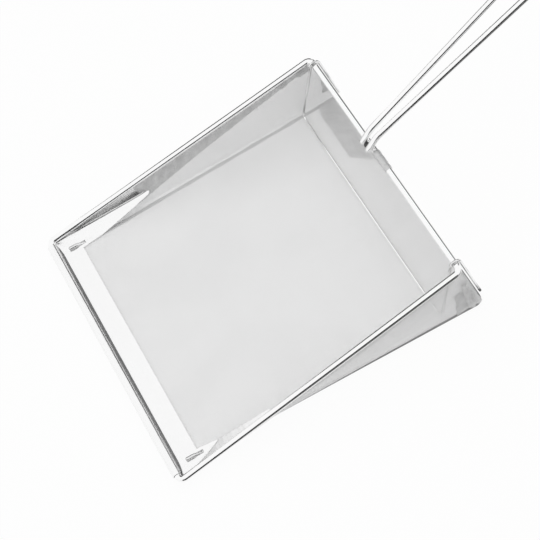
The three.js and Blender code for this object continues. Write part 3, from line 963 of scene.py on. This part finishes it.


# Pressed: pale and dull. Tinted: heat tint on the weld, and a painted reflection on the clamp's
# ends. Sheared: painted shade, the grey groove along the roll
pressed = rough_steel("dull_pressed_stainless_steel", "#E6E6E6", "#CCCCCC")
heat_tint_and_reflection = rough_steel("heat_tint_and_painted_reflection_steel", "#747474", "#505050")
groove_shade = rough_steel("painted_groove_shade_steel", "#ACACAC", "#888888")
for made, finish in ((sleeve, pressed), (weld, heat_tint_and_reflection), (clamp, heat_tint_and_reflection), (lip, groove_shade)):
    made.data.materials.append(finish)
# Painted shade: the faces in the groove behind the roll take the mid grey
for face in lip.data.polygons:
    x, y, z = rim_spot(face.center)
    if GROOVE_Y[0] < y < GROOVE_Y[1] and GROOVE_Z[0] < z < GROOVE_Z[1] and abs(x) < ROLL_HALF:
        face.material_index = 1
# Painted reflection: the cut ends outside the back wall take the dark tone; the uprights, the stripes
for face in clamp.data.polygons:
    x, y, z = rim_spot(face.center)
    dark_below = RIGHT_DARK - RIGHT_END if x > 0 else LEFT_DARK - LEFT_END
    face.material_index = 2 if y > RIM_LENGTH and z < dark_below else int(y > CLAMP_Y + CLAMP_WIRE)
print("rough finishes:", pressed.name, heat_tint_and_reflection.name, groove_shade.name)

# %% [markdown]
# ### Woven wire cloth
# A plain weave of fine round wires. Across the cloth the distance to the nearest thread, from a
# ping-pong of the uv map, says where there is wire; the larger of both directions is the cover, and it
# drives the alpha, so that the white ground shows through the gaps. Threads that pass over and under
# each other scatter the light, so the cloth is rough and only half as metallic as a smooth sheet.
# The weave on the real scoop is finer than the picture shows. It is drawn with 0.4 mm threads, 0.8 mm
# apart; two layers, whose threads fall between each other, are drawn as one finer and closer weave.

# %% Cloth materials
THREAD_RUN, THREAD_DRIFT, WEAVE_RELIEF = 120, 7, 0.2 * MM
THREAD_EDGE, THREAD_THIN, THREAD_THICK = 0.08, 0.45, 0.55


def cloth_finish(name, pitch, thread, bright, dim, patch):
    """Cloth of that pitch and thread, with clouds of tone of the size of patch, in millimetres."""
    made, tree, uv = steel(name)
    axes = add(tree, "ShaderNodeSeparateXYZ", {"Vector": uv})
    covers = []
    for axis, stretch in (("X", (1 / THREAD_DRIFT, 1 / THREAD_RUN, 1)),
                          ("Y", (1 / THREAD_RUN, 1 / THREAD_DRIFT, 1))):
        away = add(tree, "ShaderNodeMath", {0: axes.outputs[axis], 1: pitch / 2}, operation="PINGPONG")
        runs = add(tree, "ShaderNodeVectorMath", {0: uv, 1: stretch}, operation="MULTIPLY")
        uneven = add(tree, "ShaderNodeTexNoise", {
            "Vector": runs.outputs["Vector"], "Scale": 1, "Detail": 1})
        half = add(tree, "ShaderNodeMapRange", {
            "Value": uneven.outputs["Fac"], "From Min": 0.25, "From Max": 0.75,
            "To Min": thread * THREAD_THIN, "To Max": thread * THREAD_THICK})
        inside = add(tree, "ShaderNodeMath", {
            0: half.outputs["Result"], 1: away.outputs["Value"]}, operation="SUBTRACT")
        covers.append(add(tree, "ShaderNodeMapRange", {
            "Value": inside.outputs["Value"],
            "From Min": -THREAD_EDGE * thread, "From Max": THREAD_EDGE * thread}).outputs["Result"])
    cover = add(tree, "ShaderNodeMath", {0: covers[0], 1: covers[1]},
                operation="MAXIMUM").outputs["Value"]
    cloudy = add(tree, "ShaderNodeTexNoise", {
        "Vector": uv, "Scale": 1 / patch, "Detail": 4}).outputs["Fac"]
    tone = add(tree, "ShaderNodeMix", {
        "Factor": cloudy, "A": linear(dim), "B": linear(bright)}, data_type="RGBA")
    gloss = add(tree, "ShaderNodeMapRange", {"Value": cloudy, "To Min": 0.6, "To Max": 0.8})
    relief = add(tree, "ShaderNodeBump", {"Height": cover, "Strength": 0.4, "Distance": WEAVE_RELIEF})
    dress(tree, tone, gloss, relief)
    shader = tree.nodes["Principled BSDF"]
    tree.links.new(cover, shader.inputs["Alpha"])
    shader.inputs["Metallic"].default_value = 0.5
    return made


# Woven: a pale, even grey veil. Doubled: denser and blotched. Folded: denser, and painted darkest
# for the shade in its folds
woven = cloth_finish("woven_stainless_wire_cloth", 0.8, 0.4, "#F1F1F1", "#E8E8E8", 40)
doubled = cloth_finish("doubled_stainless_wire_cloth", 0.5, 0.26, "#FAFAFA", "#D0D0D0", 9)
shaded_folds = cloth_finish("painted_shade_folded_wire_cloth", 0.5, 0.3, "#F0F0F0", "#B8B8B8", 6)
basket.data.materials.append(woven)
for layer in (lap, corner_right):
    layer.data.materials.append(doubled)
# Painted shade: the hems and the flaps inside or under other layers take the darkest cloth
for layer in (hem_left, hem_right, corner_under, *inner_flaps):
    layer.data.materials.append(shaded_folds)
print("cloth finishes:", woven.name, doubled.name, shaded_folds.name)

# %% [markdown]
# ## Studio
# A white floor and a white surround. Lamps strong enough to make them white would burn out the pale
# steel, so they are white by themselves, but only where they are seen: by the camera, in gloss and
# through gaps. For light on the object the floor is plain paint and the world is dimmer, and a small
# share of the paint stays in view, so that the floor keeps the object's shadow.

# %% Floor and surround
FLOOR_SIZE, FLOOR_DROP, FLOOR_GLOW, WORLD_LIGHT = 8, 0.0002, 0.94, 0.72
WHITE = (1, 1, 1, 1)


def plainly_seen(tree):
    """1 for rays that show the studio itself: to the camera, in gloss and through gaps; else 0."""
    ray = add(tree, "ShaderNodeLightPath").outputs
    seen = add(tree, "ShaderNodeMath", {0: ray["Is Camera Ray"], 1: ray["Is Glossy Ray"]},
               operation="MAXIMUM")
    seen = add(tree, "ShaderNodeMath", {0: seen.outputs["Value"], 1: ray["Is Transmission Ray"]},
               operation="MAXIMUM")
    return seen.outputs["Value"]


def board(name, width, height):
    """A flat board of the studio, which isn't part of the object, with a matt painted material."""
    x, y = width / 2, height / 2
    mesh = bpy.data.meshes.new(name)
    mesh.from_pydata([(-x, -y, 0), (x, -y, 0), (x, y, 0), (-x, y, 0)], [], [(0, 1, 2, 3)])
    made = bpy.data.objects.new(name, mesh)
    bpy.context.scene.collection.objects.link(made)
    paint = bpy.data.materials.new(name + "_paint")
    paint.use_nodes = True
    paint.node_tree.nodes["Principled BSDF"].inputs["Specular IOR Level"].default_value = 0
    mesh.materials.append(paint)
    return made, paint.node_tree


floor, tree = board("Floor", FLOOR_SIZE, FLOOR_SIZE)
floor.location.z = -FLOOR_DROP
shader = tree.nodes["Principled BSDF"]
shader.inputs["Base Color"].default_value = linear("#F2F2F2")
shader.inputs["Roughness"].default_value = 0.9
share = add(tree, "ShaderNodeMath", {0: plainly_seen(tree), 1: FLOOR_GLOW}, operation="MULTIPLY")
glow = add(tree, "ShaderNodeEmission", {"Color": WHITE, "Strength": 1})
blend = add(tree, "ShaderNodeMixShader", {
    0: share.outputs["Value"], 1: shader.outputs["BSDF"], 2: glow.outputs["Emission"]})
tree.links.new(blend.outputs["Shader"], tree.nodes["Material Output"].inputs["Surface"])

world = bpy.data.worlds.new("Studio")
world.use_nodes = True
bpy.context.scene.world = world
tree = world.node_tree
level = add(tree, "ShaderNodeMapRange", {
    "Value": plainly_seen(tree), "To Min": WORLD_LIGHT, "To Max": 1})
tree.links.new(level.outputs["Result"], tree.nodes["Background"].inputs["Strength"])
tree.nodes["Background"].inputs["Color"].default_value = WHITE
print("floor of", FLOOR_SIZE, "m under a world of", WORLD_LIGHT)

# %% [markdown]
# ## Lamps and dark cards
# One wide soft lamp overhead and a weaker one beside it shape the object. Both are hidden from
# reflections, so that the polished wires don't burn out. Bright metal shows what stands round it, so
# four dark cards, seen only in reflections, draw dark lines along the wires, as photographers do.

# %% Lamps and dark cards
def facing(spot):
    """The turn of something at that spot that looks at the object."""
    return (-Vector(spot)).to_track_quat("-Z", "Y").to_euler()


def lamp(name, spot, size, watts):
    data = bpy.data.lights.new(name, "AREA")
    data.shape, data.size, data.energy = "SQUARE", size, watts
    made = bpy.data.objects.new(name, data)
    made.location, made.rotation_euler = spot, facing(spot)
    made.visible_glossy = False
    bpy.context.scene.collection.objects.link(made)
    print(name, "lamp of", watts, "W")


def dark_card(name, spot, width, height, tone, flat=False):
    made, tree = board(name, width, height)
    made.location = spot
    if not flat:
        made.rotation_euler = facing(spot)
    made.visible_camera = made.visible_diffuse = False
    made.visible_shadow = made.visible_transmission = False
    tree.nodes["Principled BSDF"].inputs["Base Color"].default_value = linear(tone)
    print(name, "of", width, "by", height, "m")


lamp("Overhead", (-0.4, 0.0, 1.5), 1.6, 5)
lamp("Side", (0.4, -1.3, 0.9), 0.8, 1.2)
dark_card("Card_back", (-0.6, 0.95, 0.4), 0.9, 0.8, "#606060")
dark_card("Card_left", (-1.2, 0.05, 0.46), 1.1, 0.92, "#383838")
dark_card("Card_right", (1.1, -0.35, 0.33), 1.7, 0.66, "#262626")
dark_card("Card_low", (0.65, -0.05, -0.0001), 1.0, 0.7, "#787878", flat=True)
bpy.context.scene.view_settings.view_transform = "Standard"
